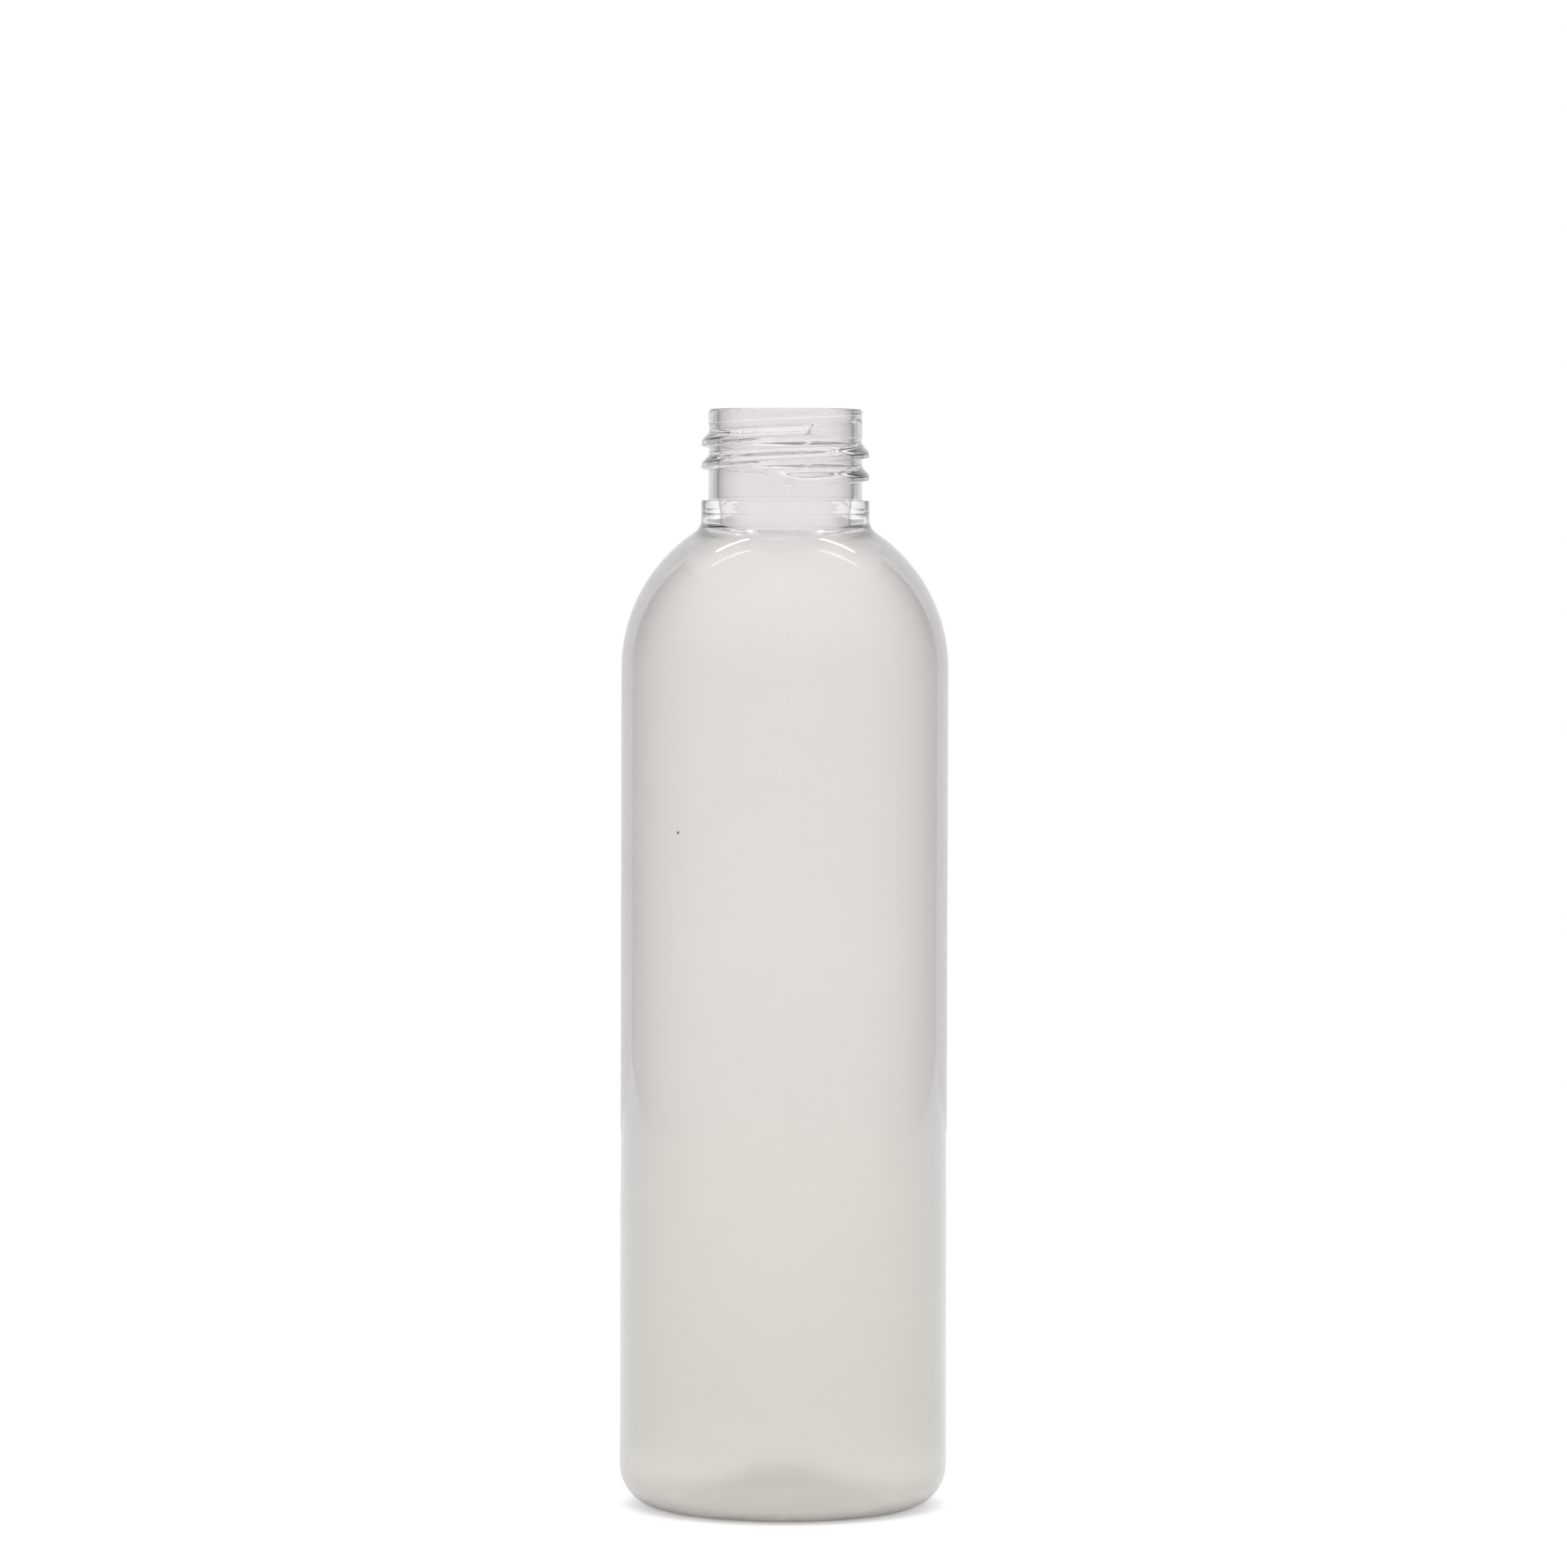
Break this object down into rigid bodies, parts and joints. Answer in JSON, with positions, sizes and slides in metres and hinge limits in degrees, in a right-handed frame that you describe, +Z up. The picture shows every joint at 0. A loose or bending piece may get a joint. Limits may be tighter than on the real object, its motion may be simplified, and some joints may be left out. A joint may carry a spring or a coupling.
{
  "type": "plastic bottle",
  "caption": "Tall round bottle of clear plastic with a domed shoulder, a 24 mm screw neck with a support ring, and a shallow push-up in its foot.",
  "frame": {"origin": "middle of the foot, on the plane that the bottle stands on", "axes": "+Z up along the bottle's axis to the mouth, -Y towards the front, where the thread begins and ends, +X to the right"},
  "size_m": [0.0464, 0.0464, 0.1553],
  "materials": {
    "bottle": "clear, colourless PET, blown glossy, a little hazy in the body"
  },
  "bodies": {
    "root": {"bottle": "bottle"}
  },
  "joints": []
}
